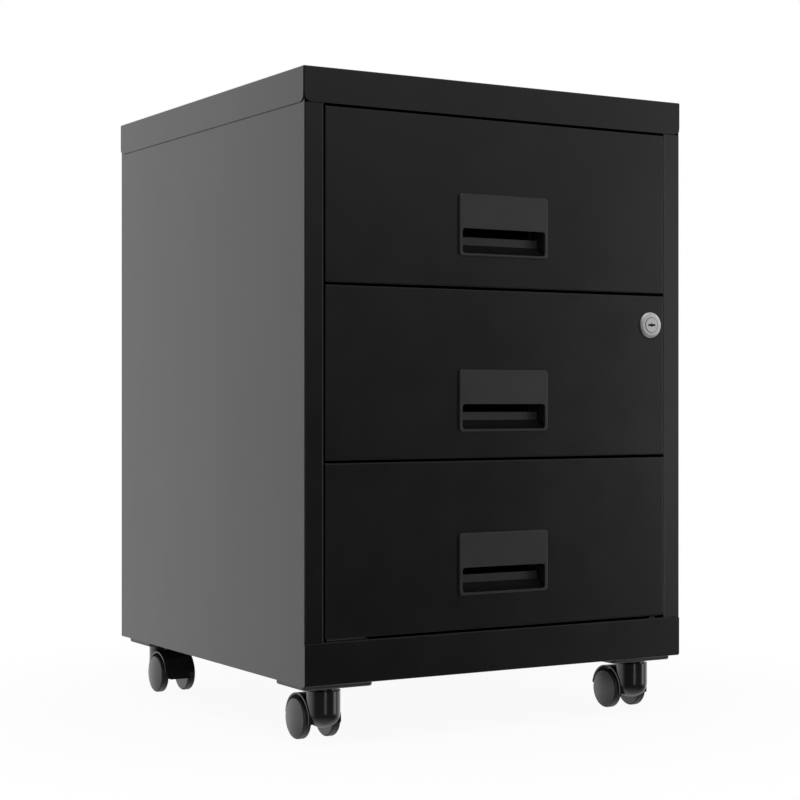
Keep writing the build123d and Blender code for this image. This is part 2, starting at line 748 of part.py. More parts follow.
# Castors, with a corner plate above each
wheel_radius = wheel_diameter / 2
web_half_width = web_width / 2
hood_inner_radius = hood_radius - hood_wall
wheel_inner = web_half_width + wheel_side_gap
tread_inner = wheel_inner + wheel_inner_round
tread_outer = tread_inner + wheel_tread
wheel_face = tread_outer + wheel_shoulder
wheel_end = wheel_face + wheel_dome
bore_end = wheel_end - wheel_cap
axle_half_length = bore_end - axle_end_gap
axle_bore_radius = axle_diameter / 2 + running_play
dome_rim = wheel_radius - wheel_shoulder
dome_radius = (dome_rim**2 + wheel_dome**2) / (2 * wheel_dome)
dome_half_angle = asin(dome_rim / dome_radius) / 2
dome_middle = (wheel_end - dome_radius * (1 - cos(dome_half_angle)), dome_radius * sin(dome_half_angle))

for name, (stem_x, stem_y, heading) in castors.items():
    stem_plane = Plane(origin=(stem_x, stem_y, 0), x_dir=(heading, 0, 0), z_dir=(0, 0, 1))
    axle_y = stem_y + heading * castor_trail
    axle_plane = Plane(origin=(stem_x, axle_y, wheel_radius), x_dir=(0, heading, 0), z_dir=(heading, 0, 0))

    # Corner plate: a shallow tray, open at the top, with a seat for the stem
    with BuildPart() as corner_plate:
        plate_x = (side_x - plate_side_inset - plate_length / 2) * (1 if stem_x > 0 else -1)
        if heading > 0:
            plate_y = front_y + plate_front_inset + plate_width / 2
        else:
            plate_y = back_outer_y - plate_rear_inset - plate_width / 2
        with BuildSketch(Plane.XY.offset(plate_bottom)):
            with Locations((plate_x, plate_y)):
                RectangleRounded(plate_length, plate_width, plate_corner)
        extrude(amount=plate_height)
        fillet(corner_plate.faces().sort_by(Axis.Z)[0].edges(), plate_round)
        offset(amount=-plate_sheet, openings=corner_plate.faces().sort_by(Axis.Z)[-1])
        with BuildSketch(stem_plane.offset(plate_bottom)):
            Circle(stem_hole_radius + stem_seat_wall)
        extrude(amount=plate_height)
        with BuildSketch(stem_plane.offset(plate_bottom)):
            Circle(stem_hole_radius)
        extrude(amount=plate_height, mode=Mode.SUBTRACT)
    corner_plate.part.label = f"{name}_corner_plate"
    export_step(corner_plate.part, f"parts/{name}_corner_plate.step")

    # Hood: a round stem housing, a web between the wheels and a curved fender over them
    with BuildPart() as hood:
        with BuildSketch(stem_plane.offset(housing_bottom)):
            Circle(housing_diameter / 2)
        extrude(amount=housing_top - housing_bottom)
        fillet(hood.faces().sort_by(Axis.Z)[0].edges(), housing_round)
        with BuildSketch(axle_plane):
            Circle(hood_radius)
            with Locations((0, web_bottom - wheel_radius - hood_radius)):
                Rectangle(2 * hood_radius, 2 * hood_radius, mode=Mode.SUBTRACT)
        extrude(amount=web_half_width, both=True)
        for side in (-1, 1):
            with BuildSketch(axle_plane.offset(side * web_half_width)):
                Circle(wheel_radius + wheel_well_gap)
            extrude(amount=side * housing_diameter, mode=Mode.SUBTRACT)
        with BuildSketch(axle_plane):
            Circle(hood_radius)
            Circle(hood_inner_radius, mode=Mode.SUBTRACT)
            with Locations((hood_radius, hood_rear_rise - hood_radius)):
                Rectangle(2 * hood_radius, 2 * hood_radius, mode=Mode.SUBTRACT)
            with Locations((-hood_radius, -hood_front_drop - hood_radius)):
                Rectangle(2 * hood_radius, 2 * hood_radius, mode=Mode.SUBTRACT)
        extrude(amount=hood_width / 2, both=True)
        rims = [
            edge
            for edge in hood.edges().filter_by(GeomType.CIRCLE)
            if abs(edge.radius - hood_inner_radius) < 0.01
            and abs(abs(edge.arc_center.X - stem_x) - hood_width / 2) < 0.01
        ]
        chamfer(rims, hood_bevel)
        with BuildSketch(stem_plane.offset(housing_top)):
            Circle(stem_hole_radius)
        extrude(amount=-stem_depth - collar_gap, mode=Mode.SUBTRACT)
        with BuildSketch(axle_plane):
            Circle(axle_bore_radius)
        extrude(amount=web_half_width, both=True, mode=Mode.SUBTRACT)
    hood.part.label = f"{name}_castor_hood"
    export_step(hood.part, f"parts/{name}_castor_hood.step")

    with BuildPart() as axle:
        with BuildSketch(axle_plane):
            Circle(axle_diameter / 2)
        extrude(amount=axle_half_length, both=True)
    axle.part.label = f"{name}_castor_axle"
    export_step(axle.part, f"parts/{name}_castor_axle.step")

    # Wheels: a rounded tread, a domed outer face and a blind bore for the axle's end
    for side, side_name in ((-1, "left"), (1, "right")):
        wheel_plane = Plane(origin=(stem_x, axle_y, wheel_radius), x_dir=(side, 0, 0), z_dir=(0, -side, 0))
        with BuildPart() as wheel:
            with BuildSketch(wheel_plane):
                with BuildLine():
                    CenterArc((tread_inner, wheel_radius - wheel_inner_round), wheel_inner_round, 90, 90)
                    Polyline(
                        (wheel_inner, wheel_radius - wheel_inner_round),
                        (wheel_inner, axle_bore_radius),
                        (bore_end, axle_bore_radius),
                        (bore_end, 0),
                        (wheel_end, 0),
                    )
                    ThreePointArc((wheel_end, 0), dome_middle, (wheel_face, dome_rim))
                    CenterArc((tread_outer, dome_rim), wheel_shoulder, 0, 90)
                    Line((tread_outer, wheel_radius), (tread_inner, wheel_radius))
                make_face()
            revolve(axis=Axis((stem_x, axle_y, wheel_radius), (1, 0, 0)))
        wheel.part.label = f"{name}_{side_name}_wheel"
        export_step(wheel.part, f"parts/{name}_{side_name}_wheel.step")
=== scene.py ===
# %% [markdown]
# # A steel filing cabinet on castors
# The cabinet is folded from thin sheet, powder coated black, and rolls on four twin-wheel castors.
# Its solids come from the CAD model, so this lesson gives them their finishes, adds the rivets that
# show when a drawer is pulled out and two strips under the bottom drawer, and sets up a plain studio.

# %% Load the CAD model
import json
import math

import bpy
import numpy as np
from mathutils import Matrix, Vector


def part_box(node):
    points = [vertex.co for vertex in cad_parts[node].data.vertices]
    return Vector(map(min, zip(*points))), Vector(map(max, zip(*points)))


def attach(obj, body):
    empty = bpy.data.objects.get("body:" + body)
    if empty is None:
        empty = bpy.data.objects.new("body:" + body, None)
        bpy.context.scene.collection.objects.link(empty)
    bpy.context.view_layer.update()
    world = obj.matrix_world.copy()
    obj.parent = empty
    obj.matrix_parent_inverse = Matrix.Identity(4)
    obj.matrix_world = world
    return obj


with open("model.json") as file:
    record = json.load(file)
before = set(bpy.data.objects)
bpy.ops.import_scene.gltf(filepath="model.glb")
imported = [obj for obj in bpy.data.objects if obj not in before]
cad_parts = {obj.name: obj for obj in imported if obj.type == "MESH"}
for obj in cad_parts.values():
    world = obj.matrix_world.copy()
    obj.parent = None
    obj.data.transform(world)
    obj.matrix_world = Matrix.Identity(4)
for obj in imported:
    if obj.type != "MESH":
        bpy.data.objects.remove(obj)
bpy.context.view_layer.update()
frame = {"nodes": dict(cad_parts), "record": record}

# %% [markdown]
# ## Writing shaders as arithmetic
# A finish is a small graph of nodes. Wiring each Math node by hand hides the formula, so a signal
# stands for one socket and overloads the operators: writing `1 - mask` adds the node that works it
# out. Every other node comes from one method, which sets the node's own settings before its sockets.

# %% Signals and node trees
class Signal:
    """A value socket that takes part in Python arithmetic; each operator adds one Math node."""

    def __init__(self, nodes, socket):
        self.nodes = nodes
        self.socket = socket

    def math(self, operation, first, second):
        return self.nodes.node("ShaderNodeMath", {"operation": operation}, {0: first, 1: second})

    def __add__(self, other):
        return self.math("ADD", self, other)

    def __sub__(self, other):
        return self.math("SUBTRACT", self, other)

    def __rsub__(self, other):
        return self.math("SUBTRACT", other, self)

    def __mul__(self, other):
        return self.math("MULTIPLY", self, other)

    def __truediv__(self, other):
        return self.math("DIVIDE", self, other)

    def __pow__(self, other):
        return self.math("POWER", self, other)

    def __abs__(self):
        return self.math("ABSOLUTE", self, 0.0)

    __radd__ = __add__
    __rmul__ = __mul__


class Nodes:
    """A node tree that is written as Python."""

    def __init__(self, tree):
        self.tree = tree

    def node(self, kind, settings=None, inputs=None, output=0):
        """Adds one node: its settings first, then the values or links of its sockets."""
        made = self.tree.nodes.new(kind)
        for name, value in (settings or {}).items():
            setattr(made, name, value)
        self.feed(made, inputs or {})
        return Signal(self, made.outputs[output])

    def feed(self, target, inputs):
        """Sets or links the named sockets of a node that is already there."""
        for name, value in inputs.items():
            if isinstance(value, Signal):
                self.tree.links.new(value.socket, target.inputs[name])
            else:
                target.inputs[name].default_value = value


print("signals ready")

# %% [markdown]
# ## Words that the finishes share
# All the finishes read Object coordinates in metres. A CAD node sits at the origin, so these are
# places on the cabinet, and a pattern's scale is the number of its features in one metre. Noise gives
# texture, a smooth step turns a distance into a soft-edged mask, and a mix blends two colours. Where a
# mask fades between two distances, the two are kept together as one named pair.

# %% Shared shader words
def noise(nodes, place, scale, detail=2.0, dimensions="3D"):
    """Soft random values around a half, with about `scale` lumps in a metre."""
    where = {"Vector": place} if dimensions == "3D" else {"W": place}
    settings = {"noise_dimensions": dimensions}
    return nodes.node("ShaderNodeTexNoise", settings, {**where, "Scale": scale, "Detail": detail})


def smooth_step(nodes, value, start, end):
    """0 before start, 1 after end and an S-shaped rise between them."""
    limits = {"Value": value, "From Min": start, "From Max": end}
    return nodes.node("ShaderNodeMapRange", {"interpolation_type": "SMOOTHSTEP"}, limits)


def mix_colour(nodes, factor, first, second):
    """The first colour where factor is 0, the second where it is 1."""
    inputs = {0: factor, 6: first, 7: second}
    return nodes.node("ShaderNodeMix", {"data_type": "RGBA"}, inputs, output=2)


def axes_of(nodes, place):
    """The X, Y and Z of a place, each as a signal of its own."""
    separate = nodes.node("ShaderNodeSeparateXYZ", {}, {0: place}).socket.node
    return [Signal(nodes, output) for output in separate.outputs]


def grey(value, warmth=0.0):
    """A linear grey, a little warm or cool."""
    return (value * (1 + warmth), value, value * (1 - warmth), 1.0)


def bumped(nodes, height, distance, strength=1.0):
    """A normal that follows a height, in metres, over the surface."""
    inputs = {"Height": height, "Distance": distance, "Strength": strength}
    return nodes.node("ShaderNodeBump", {}, inputs, output="Normal")


def new_finish(name, **constants):
    """A material with its shader's constant sockets set, its tree and its Object coordinates."""
    material = bpy.data.materials.new(name)
    material.use_nodes = True
    nodes = Nodes(material.node_tree)
    shader = material.node_tree.nodes["Principled BSDF"]
    nodes.feed(shader, {socket.replace("_", " "): value for socket, value in constants.items()})
    place = nodes.node("ShaderNodeTexCoord", output="Object")
    return material, nodes, shader, place


def from_axis(nodes, place, centre, axis):
    """Distance of each point from a line through centre along X (0), Y (1) or Z (2)."""
    offset = nodes.node("ShaderNodeVectorMath", {"operation": "SUBTRACT"}, {0: place, 1: centre})
    keep = [0.0 if index == axis else 1.0 for index in range(3)]
    flat = nodes.node("ShaderNodeVectorMath", {"operation": "MULTIPLY"}, {0: offset, 1: keep})
    return nodes.node("ShaderNodeVectorMath", {"operation": "LENGTH"}, {0: flat}, output="Value")


print("shader words ready")

# %% [markdown]
# ## Powder coat on folded sheet
# Powder melts and flows on the steel as it cures, which leaves a fine orange peel, and a thin sheet
# is never quite flat, so large reflections wander a little. Paint could be one flat colour, but then
# the broad panels look like paper: two scales of noise drive a bump, and the roughness varies too.
# The same function makes the variants: the dull coat of the drawer boxes, with painted shade on their
# front walls behind the finger slots, the spot-welded back, and the right side, whose stile leans a
# little and has a painted light line down its inner fold, where the drawers close beside it.

# %% Powder coat
peel_height = 0.00001
wave_height = 0.0011
weld_depth = 0.0002


def powder_coat(name, gloss_roughness=0.25, lean=0.0, painted_light_at=None, spot_welds=False, painted_shade_wall_y=None):
    """Black with orange peel on uneven sheet. It may lean by a slope along X, have a painted light line
    down a fold that is given by a point on it, be spot welded, or have painted shade on a front wall,
    given by its Y."""
    material, nodes, shader, place = new_finish(name, IOR=1.46)
    peel = noise(nodes, place, 620.0)
    sheet = noise(nodes, place, 5.0, detail=1.0)
    cloud = noise(nodes, place, 38.0, detail=4.0)
    across = axes_of(nodes, place)[0]
    height = peel_height * peel + wave_height * sheet - lean * across
    if spot_welds:
        height = height - weld_depth * weld_rows(nodes, place)
    paint = mix_colour(nodes, cloud, grey(0.004), grey(0.007))
    # Painted light: a lighter grey line down the stile's inner fold.
    if painted_light_at is not None:
        paint = mix_colour(nodes, painted_light_line(nodes, place, painted_light_at), paint, grey(0.07))
    # Painted shade: the wall's outer skin is made near black and metallic, so it neither lights nor
    # reflects.
    if painted_shade_wall_y is not None:
        painted_wall_shade = painted_shade_on_wall(nodes, place, painted_shade_wall_y)
        paint = mix_colour(nodes, painted_wall_shade, paint, grey(0.001))
        nodes.feed(shader, {"Metallic": painted_wall_shade})
    nodes.feed(shader, {
        "Base Color": paint,
        "Roughness": gloss_roughness + 0.06 * cloud + 0.02 * peel,
        "Normal": bumped(nodes, height, 1.0, 0.6),
    })
    return material


light_line_across = (0.0002, 0.0018)
light_line_back = (0.0010, 0.0025)
painted_shade_skin = (0.0002, 0.0005)


def painted_light_line(nodes, place, fold):
    """A painted light line down the stile's inner fold: narrow on the stile, and only at the panel's
    front.
    """
    across, back, _ = axes_of(nodes, place)
    beside = 1 - smooth_step(nodes, across - fold.x, *light_line_across)
    return beside * (1 - smooth_step(nodes, back - fold.y, *light_line_back))


def painted_shade_on_wall(nodes, place, wall):
    """A mask of the outer skin of a drawer box's front wall, for painted shade behind the finger slots."""
    back = axes_of(nodes, place)[1]
    return 1 - smooth_step(nodes, back - wall, *painted_shade_skin)


print("powder coat ready")

# %% Spot welds and the coats
weld_line = 0.190
weld_pitch = 0.060
weld_edge = (0.0012, 0.0030)


def weld_rows(nodes, place):
    """Round dimples, one in each pitch up two lines near the left and right edges of the back."""
    across, _, up = axes_of(nodes, place)
    beside = abs(across) - weld_line
    cell = nodes.node("ShaderNodeMath", {"operation": "FRACT"}, {0: up / weld_pitch})
    along = weld_pitch * (cell - 0.5)
    return 1 - smooth_step(nodes, (beside**2 + along**2)**0.5, *weld_edge)


coat = powder_coat("black_powder_coat")
panel_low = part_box("right_side_panel")[0]
right_side_coat = powder_coat("black_powder_coat_on_a_leaning_fold_with_painted_light", lean=0.036, painted_light_at=panel_low)
front_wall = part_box("drawer_1_box")[0].y
inside_coat = powder_coat("dull_black_powder_coat_with_painted_shade", gloss_roughness=0.70, painted_shade_wall_y=front_wall)
back_coat = powder_coat("black_powder_coat_with_spot_welds", spot_welds=True)
print("finishes:", coat.name, right_side_coat.name, inside_coat.name, back_coat.name)

# %% [markdown]
# ## Moulded black plastic
# The handle inserts, the corner plates and the castor hoods come out of steel moulds. A handle's mould
# is spark-eroded, so its skin is finely grained and dull, and a castor's is polished, so it reflects the
# room. One function makes them all, because only the tone, the grain and the roughness differ. A
# handle also has painted shade on the ends and the lower slope of its finger slot, so each has its own.

# %% Moulded plastic
def moulded_plastic(name, tone, grain, dullness, corner=None):
    """Black plastic with a fine grain, in metres; a handle gives its lowest front corner for its slot's
    painted shade.
    """
    material, nodes, shader, place = new_finish(name, IOR=1.49)
    skin = noise(nodes, place, 1400.0, detail=3.0)
    flow = noise(nodes, place, 45.0)
    colour = mix_colour(nodes, flow, grey(0.8 * tone), grey(1.2 * tone))
    roughness = dullness + 0.08 * flow
    # Painted shade: the slot's ends and lower slope are made near black, and the slope metallic so it
    # reflects less.
    if corner is not None:
        ends, slope = slot_shade(nodes, place, corner)
        shade = 1 - (1 - 0.9 * ends) * (1 - slope)
        colour = mix_colour(nodes, shade, colour, grey(0.002))
        roughness = roughness + 0.35 * shade
        nodes.feed(shader, {"Metallic": slope})
    nodes.feed(shader, {
        "Base Color": colour,
        "Roughness": roughness,
        "Normal": bumped(nodes, grain * skin, 1.0, 0.7),
    })
    return material


slot_end = (0.0440, 0.0446)
slot_taper = 0.24
slope_top = (0.0095, 0.0105)
slope_fall = (0.0030, 0.0105)
behind_plate = (0.0015, 0.0030)
shade_at_top = 0.20
shade_gained = 0.60


def slot_shade(nodes, place, corner):
    """Masks of painted shade on a finger slot's tapered ends and its lower slope, darker downwards, behind
    the plate.
    """
    across, back, up = axes_of(nodes, place)
    depth = back - corner.y
    ends = smooth_step(nodes, abs(across) + slot_taper * depth, *slot_end)
    height = up - corner.z
    slope = 1 - smooth_step(nodes, height, *slope_top)
    deeper = shade_at_top + shade_gained * (1 - smooth_step(nodes, height, *slope_fall))
    inside = smooth_step(nodes, depth, *behind_plate)
    return inside * ends, inside * slope * deeper


print("moulded plastic ready")

# %% Handles, plates and hoods
drawers = (1, 2, 3)
handle_plastics = {}
for number in drawers:
    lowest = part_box(f"drawer_{number}_handle")[0]
    handle_plastics[number] = moulded_plastic(
        f"handle_{number}_plastic", tone=0.021, grain=0.00004, dullness=0.36, corner=lowest
    )
plate_plastic = moulded_plastic("corner_plate_plastic", tone=0.045, grain=0.00002, dullness=0.40)
hood_plastic = moulded_plastic("castor_hood_plastic", tone=0.018, grain=0.000006, dullness=0.16)
print("finishes:", len(handle_plastics), "handles,", plate_plastic.name, hood_plastic.name)

# %% [markdown]
# ## Castor wheels
# A wheel is one nylon moulding: a polished dome outside and a tread that the floor has dulled. The
# distance from the axle tells the two apart, so each castor has a finish that is centred on its own
# axle, and the same distance makes the faint rings that turning left in the mould.

# %% Wheel finish
tread_edge = (0.0158, 0.0177)
turned_part = (0.001, 0.004)
ring_height = 0.000012
dust_height = 0.00002


def wheel_nylon(name, axle):
    """Glossy black nylon with faint rings about the axle and a duller, dustier tread."""
    material, nodes, shader, place = new_finish(name, IOR=1.52)
    radius = from_axis(nodes, place, axle, 0)
    tread = smooth_step(nodes, radius, *tread_edge)
    dust = noise(nodes, place, 260.0, detail=4.0)
    turned = smooth_step(nodes, radius, *turned_part)
    rings = turned * noise(nodes, radius, 900.0, detail=1.0, dimensions="1D")
    nodes.feed(shader, {
        "Base Color": mix_colour(nodes, tread * dust, grey(0.016), grey(0.050, 0.03)),
        "Roughness": 0.34 + 0.16 * tread * dust + 0.04 * rings,
        "Normal": bumped(nodes, ring_height * rings + dust_height * tread * dust, 1.0, 0.6),
    })
    return material


corners = ("front_left", "front_right", "rear_left", "rear_right")
wheel_finishes = {}
for corner in corners:
    low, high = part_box(f"{corner}_castor_axle")
    wheel_finishes[corner] = wheel_nylon(f"{corner}_wheel_nylon", (low + high) / 2)
print("wheel finishes:", len(wheel_finishes))

# %% [markdown]
# ## Bare and plated metal
# The lock is a nickel-plated casting that was turned, so its marks run round its axis. Brackets, nuts
# and the lock bar are zinc plated: zinc freezes in crystals a few millimetres across, each with its
# own brightness, which Voronoi cells imitate well.

# %% Nickel
seam_edge = (0.0002, 0.0006)
slot_skin = (0.0002, 0.0005)
slot_reach = (0.0050, 0.0058)
mark_height = 0.00001


def turned_nickel(name, plug_low, plug_high):
    """Satin nickel with turning marks round the plug's axis, and painted shade in its seam and key slot.
    """
    material, nodes, shader, place = new_finish(name, Metallic=1.0)
    plug_radius = (plug_high.x - plug_low.x) / 2
    radius = from_axis(nodes, place, (plug_low + plug_high) / 2, 1)
    marks = noise(nodes, radius, 2600.0, detail=2.0, dimensions="1D")
    stain = noise(nodes, place, 320.0, detail=3.0)
    # Painted shade: the seam round the plug and the inside of the key slot are darkened.
    seam = 1 - smooth_step(nodes, abs(radius - plug_radius), *seam_edge)
    behind_face = smooth_step(nodes, axes_of(nodes, place)[1] - plug_low.y, *slot_skin)
    key_slot = behind_face * (1 - smooth_step(nodes, radius, *slot_reach))
    painted_groove_shade = 1 - (1 - 0.5 * seam) * (1 - key_slot)
    plate = mix_colour(nodes, stain, grey(0.64), grey(0.78))
    nodes.feed(shader, {
        "Base Color": mix_colour(nodes, painted_groove_shade, plate, grey(0.03)),
        "Roughness": 0.50 + 0.14 * marks,
        "Normal": bumped(nodes, mark_height * marks, 1.0, 0.5),
    })
    return material


nickel = turned_nickel("turned_nickel", *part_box("lock_plug"))
print("finish:", nickel.name)

# %% Zinc
crystal_height = 0.00001
wear_height = 0.00002


def zinc_plate(name, tone):
    """Zinc of the given tone, whose crystals each have their own brightness."""
    material, nodes, shader, place = new_finish(name, Metallic=1.0)
    crystals = nodes.node("ShaderNodeTexVoronoi", {}, {"Vector": place, "Scale": 260.0}, output="Color")
    shade = nodes.node("ShaderNodeSeparateColor", {}, {0: crystals})
    wear = noise(nodes, place, 90.0, detail=4.0)
    nodes.feed(shader, {
        "Base Color": mix_colour(nodes, shade, grey(0.82 * tone, -0.02), grey(1.18 * tone, -0.02)),
        "Roughness": 0.34 + 0.16 * wear,
        "Normal": bumped(nodes, crystal_height * shade + wear_height * wear, 1.0, 0.5),
    })
    return material


zinc = zinc_plate("zinc_plate", tone=0.51)
dull_zinc = zinc_plate("dull_zinc_plate", tone=0.14)
dark_zinc = zinc_plate("dark_zinc_plate", tone=0.06)
print("finishes:", zinc.name, dull_zinc.name, dark_zinc.name)

# %% [markdown]
# ## Natural nylon
# The runner rollers and the lock bar's guides are uncoloured nylon, which is milky and slightly warm.
# A cloudy mix of two near-white tones is enough, with the dull skin of a small moulding.

# %% Natural nylon
cloud_height = 0.00003


def natural_nylon(name):
    """Milky off-white nylon with faint clouds."""
    material, nodes, shader, place = new_finish(name, IOR=1.53)
    cloud = noise(nodes, place, 120.0, detail=3.0)
    nodes.feed(shader, {
        "Base Color": mix_colour(nodes, cloud, grey(0.58, 0.04), grey(0.72, 0.03)),
        "Roughness": 0.42 + 0.12 * cloud,
        "Normal": bumped(nodes, cloud_height * cloud, 1.0, 0.5),
    })
    return material


nylon = natural_nylon("natural_nylon")
print("finish:", nylon.name)

# %% [markdown]
# ## Giving every solid its finish
# The record names a material slot for each node, so most nodes take the finish of their slot. The
# back, the right side, the handles and the wheels take their own, because their patterns are placed on
# those pieces. So do the clip over the plinth, which is painted, the corner plates, which are grained,
# and the drawer boxes, which are dull.

# %% Assign the finishes
slot_finish = {
    "black_steel": coat,
    "runner_steel": coat,
    "zinc_steel": zinc,
    "black_plastic": plate_plastic,
    "nylon": nylon,
    "lock_chrome": nickel,
    "castor_plastic": hood_plastic,
}
own_finish = {"right_side_panel": right_side_coat, "back_panel": back_coat, "plinth_clip": coat}
for number in drawers:
    own_finish[f"drawer_{number}_handle"] = handle_plastics[number]
    own_finish[f"drawer_{number}_box"] = inside_coat
for corner in corners:
    own_finish[f"{corner}_corner_plate"] = plate_plastic
    for side in ("left", "right"):
        own_finish[f"{corner}_{side}_wheel"] = wheel_finishes[corner]


def dress(node, finish):
    """Puts a finish into every material slot of a CAD node's object."""
    for slot in node.material_slots:
        slot.material = finish


for part in frame["record"]["subparts"]:
    name = part["node"]
    dress(frame["nodes"][name], own_finish.get(name) or slot_finish[part["material_slot"]])

# %% [markdown]
# ## Rivets on the runners
# The runner channels are riveted to the folds behind the stiles, and the drawer rails to the drawer
# boxes. A rivet head is a shallow dome, so it is a profile turned about its axis: a function of the
# angle round the axis and of the distance along the profile. All the heads of a body are one mesh.

# %% Rivet heads
rivet_radius = 0.0026
rivet_height = 0.0009


def dome_grid(around=20, along=6):
    """Points of one head: at angle t up the profile the radius is R cos t and the height H sin t."""
    angle = np.linspace(0.0, 2 * np.pi, around, endpoint=False)[:, None]
    rise = np.linspace(0.0, np.pi / 2, along)[None, :]
    radius = rivet_radius * np.cos(rise)
    height = rivet_height * np.sin(rise) + 0 * angle
    return np.stack([height, radius * np.cos(angle), radius * np.sin(angle)], axis=-1)


def grid_faces(around, along, copies):
    """Quads between neighbours on a grid that closes on itself around, for each copy in turn."""
    ring, step, copy = np.meshgrid(
        np.arange(around), np.arange(along - 1), np.arange(copies), indexing="ij"
    )
    base = copy * around * along
    after = (ring + 1) % around
    here = base + ring * along + step
    beside = base + after * along + step
    return np.stack([here, beside, beside + 1, here + 1], axis=-1).reshape(-1, 4)


def add_mesh(name, points, faces, finish):
    """Puts a grid of points and its quads into a new mesh object with one finish."""
    mesh = bpy.data.meshes.new(name)
    mesh.from_pydata(points.reshape(-1, 3).tolist(), [], faces.tolist())
    mesh.materials.append(finish)
    made = bpy.data.objects.new(name, mesh)
    bpy.context.scene.collection.objects.link(made)
    return made


print("rivet head:", 2 * rivet_radius, "m across")

# %% Rivets in the runners
channel_rivet_depth = 0.011


def rivets(name, body, seats):
    """One mesh of heads: each seat is a point and the side, -1 or 1, that its head points to along X."""
    head = dome_grid()
    around, along = head.shape[:2]
    points = np.array([seat[:3] for seat in seats])
    sides = np.array([seat[3] for seat in seats])
    spread = np.repeat(head[None], len(seats), axis=0)
    spread[..., 0] *= sides[:, None, None]
    spread[..., 1] *= sides[:, None, None]
    spread += points[:, None, None, :]
    piece = add_mesh(name, spread, grid_faces(around, along, len(seats)), zinc)
    piece.data.polygons.foreach_set("use_smooth", np.ones(len(piece.data.polygons), bool))
    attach(piece, body)
    return piece


rivet_place = panel_low.y + channel_rivet_depth
channel_seats = []
for number in drawers:
    rail_low, rail_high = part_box(f"runner_rails_{number}")
    level = (rail_low.z + rail_high.z) / 2
    channel_seats += [(side * panel_low.x, rivet_place, level, -side) for side in (-1, 1)]
rivets("runner_rivets", "cabinet", channel_seats)
print("runner rivets:", len(channel_seats))

# %% Rivets in the drawers
box_sheet = 0.0008
rail_rivet_rise = 0.006
first_rivet_in = 0.03
last_rivet_in = 0.05
rivets_in_a_rail = 3
for number in drawers:
    rail_low, rail_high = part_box(f"drawer_{number}_rails")
    catch_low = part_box(f"drawer_{number}_lock_catch")[0]
    wall = catch_low.x - box_sheet
    level = rail_low.z + rail_rivet_rise
    places = np.linspace(rail_low.y + first_rivet_in, rail_high.y - last_rivet_in, rivets_in_a_rail)
    seats = [(side * wall, place, level, -side) for place in places for side in (-1, 1)]
    rivets(f"drawer_{number}_rivets", f"drawer_{number}", seats)
print("rivets in each drawer:", len(seats))

# %% [markdown]
# ## Strips under the bottom drawer
# A thin strip on the clip and a short buffer at the other end keep the bottom drawer off the plinth.
# Each is a bar of dull metal with eased edges: a profile in the upright plane, carried along the front.

# %% Strips
strip_depth = 0.010
strip_thickness = 0.0008
strip_short_of_clip = 0.0034
buffer_thickness = 0.0013
buffer_length = 0.0065
buffer_from_stile = 0.0105
edge_exponent = 8


def strip(name, low, high, finish, around=40):
    """A bar along X from low to high: its profile is a superellipse, |y|^8 + |z|^8 = 1, which is drawn in
    to the middle at both ends."""
    angle = np.linspace(0.0, 2 * np.pi, around, endpoint=False)[:, None]
    along = np.array([[low[0], low[0], high[0], high[0]]])
    width = np.array([[0.0, 1.0, 1.0, 0.0]])
    sides = []
    for axis, part in ((1, np.cos(angle)), (2, np.sin(angle))):
        eased = np.sign(part) * np.abs(part) ** (2 / edge_exponent)
        sides.append((low[axis] + high[axis]) / 2 + (high[axis] - low[axis]) / 2 * width * eased)
    points = np.stack([along + 0 * angle, *sides], axis=-1)
    piece = add_mesh(name, points, grid_faces(around, along.size, 1), finish)
    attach(piece, "cabinet")
    return piece


clip_low, clip_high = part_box("plinth_clip")
strip_back = clip_low.y + strip_depth
strip_low = (clip_low.x, clip_low.y, clip_high.z)
strip_high = (clip_high.x - strip_short_of_clip, strip_back, clip_high.z + strip_thickness)
buffer_right = panel_low.x - buffer_from_stile
buffer_low = (buffer_right - buffer_length, clip_low.y, clip_low.z)
buffer_high = (buffer_right, strip_back, clip_low.z + buffer_thickness)
strip("clip_strip", strip_low, strip_high, dull_zinc)
strip("drawer_buffer", buffer_low, buffer_high, dark_zinc)
print("strip length:", strip_high[0] - strip_low[0], "buffer length:", buffer_length)

# %% [markdown]
# ## The camera
# The photograph was taken from the left with a long lens, level with the middle drawer, so that
# upright edges stay upright. The focal length and the place come from the edges that run back from
# the front: where they meet gives the lens, and the known width gives the distance.

# %% Camera
camera_data = bpy.data.cameras.new("camera")
camera_data.sensor_width = 36.0
camera_data.lens = 84.202
camera = bpy.data.objects.new("camera", camera_data)
camera.location = (-0.92423, -1.58564, 0.29217)
camera.rotation_euler = (math.radians(90), 0.0, math.radians(-30.5426))
bpy.context.scene.collection.objects.link(camera)
bpy.context.scene.camera = camera
print("lens:", camera_data.lens, "mm")

# %% [markdown]
# ## The studio
# Black gloss shows what stands around it more than its own colour. The reflections in the photograph
# fit a bright backdrop behind the cabinet, which lights its left side, and a room in front that is dim
# below and lighter above, with a narrow strip light low down and a broad panel of light on the right.
# The world holds that room for reflections only. The camera itself sees plain white, and the floor is
# kept out of reflections, where it would hide the strip light.

# %% Rays and directions
world = bpy.data.worlds.new("studio")
bpy.context.scene.world = world
world.use_nodes = True
sky = Nodes(world.node_tree)
to_camera = sky.node("ShaderNodeLightPath", output="Is Camera Ray")
in_gloss = sky.node("ShaderNodeLightPath", output="Is Glossy Ray")
through = sky.node("ShaderNodeLightPath", output="Is Transmission Ray")
facing = sky.node("ShaderNodeTexCoord", output="Generated")


def towards(direction):
    """How far the looked-at direction points along another one, from -1 to 1."""
    inputs = {0: facing, 1: direction}
    return sky.node("ShaderNodeVectorMath", {"operation": "DOT_PRODUCT"}, inputs, output="Value")


